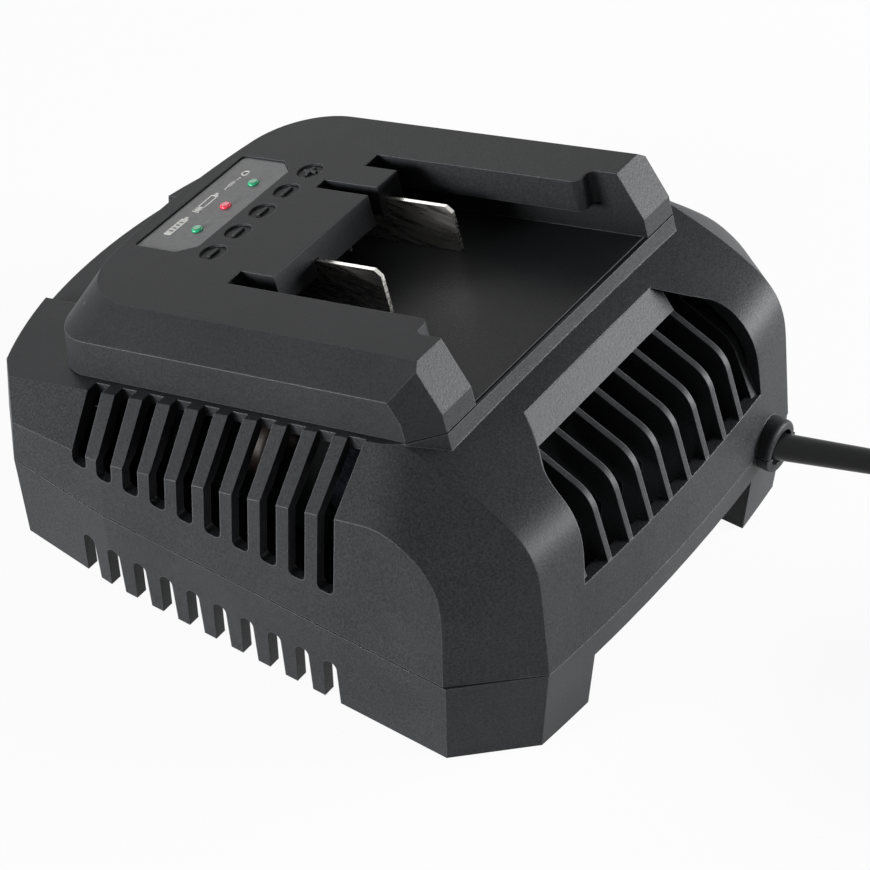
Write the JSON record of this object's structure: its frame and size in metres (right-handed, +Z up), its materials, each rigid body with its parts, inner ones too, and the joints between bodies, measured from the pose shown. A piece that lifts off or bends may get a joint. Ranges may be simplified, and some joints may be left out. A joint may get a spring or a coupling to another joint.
{
  "type": "power tool battery charger",
  "caption": "Mains battery charger with a sloping slide-in dock, contact blades, indicator lights, side vents, fan grille and mains cable.",
  "frame": {"origin": "on the surface it stands on, under the middle of the case", "axes": "+Z up, +Y towards the indicator end, -Y towards the fan grille where the battery slides in, +X towards the side next to which the mains cable leaves"},
  "size_m": [0.1437, 0.2891, 0.0828],
  "materials": {
    "case_plastic": "fine spark-eroded texture, charcoal",
    "dock_plastic": "fine spark-eroded texture, charcoal",
    "block_plastic": "glass-filled nylon, black",
    "panel_plastic": "satin film, dark grey",
    "nickel_plate": "nickel plated",
    "copper_wire": "enamelled copper",
    "lens_green": "clear tinted, glossy",
    "lens_red": "clear tinted, glossy",
    "led_body": "moulded, glossy",
    "board_laminate": "solder mask on glass laminate",
    "ferrite": "sintered, matte",
    "can_sleeve": "shrink sleeve, glossy",
    "film_case": "moulded, satin",
    "chip_resin": "moulded resin",
    "sink_aluminium": "extruded, plain",
    "zinc_steel": "zinc plated",
    "fuse_glass": "clear tube with end caps",
    "fan_plastic": "black, satin",
    "cable_jacket": "smooth, slightly glossy",
    "boot_rubber": "moulded, satin",
    "tie_plastic": "soft strap",
    "plug_plastic": "moulded, satin"
  },
  "bodies": {
    "housing": {"upper_case": "case_plastic", "lower_case": "case_plastic", "battery_dock": "dock_plastic", "terminal_block": "block_plastic", "contact_blade_negative": "nickel_plate", "contact_blade_positive": "nickel_plate", "sense_contacts": "nickel_plate", "indicator_panel": "panel_plastic", "lens_green": "lens_green", "lens_red": "lens_red", "indicator_board": "board_laminate", "indicator_leds": "led_body", "case_screws": "zinc_steel", "dock_screws_front": "zinc_steel", "dock_screws_rear": "zinc_steel", "block_screws": "zinc_steel", "indicator_screws": "zinc_steel", "board_screws": "zinc_steel", "clamp_screws": "zinc_steel", "circuit_board": "board_laminate", "transformer_core": "ferrite", "transformer_winding": "copper_wire", "mains_capacitor": "can_sleeve", "output_capacitors": "can_sleeve", "line_choke": "copper_wire", "bridge_rectifier": "chip_resin", "x_capacitor": "film_case", "control_chip": "chip_resin", "fuse": "fuse_glass", "heat_sink": "sink_aluminium", "power_transistor": "chip_resin", "fan_frame": "fan_plastic", "cable_clamp": "block_plastic", "bend_protector": "boot_rubber", "cable_entry": "cable_jacket", "mains_leads": "cable_jacket", "output_leads": "cable_jacket", "mains_cable": "cable_jacket", "cable_tail": "cable_jacket", "coil_tie": "tie_plastic", "cable_coil": "cable_jacket", "plug_body": "plug_plastic", "plug_pins": "nickel_plate"},
    "fan": {"fan_impeller": "fan_plastic"}
  },
  "joints": [
    {"name": "fan_spin", "type": "hinge", "parent": "housing", "child": "fan", "pos_m": [0, -0.0455, 0.0375], "axis": [0, 1, 0], "continuous": true}
  ]
}
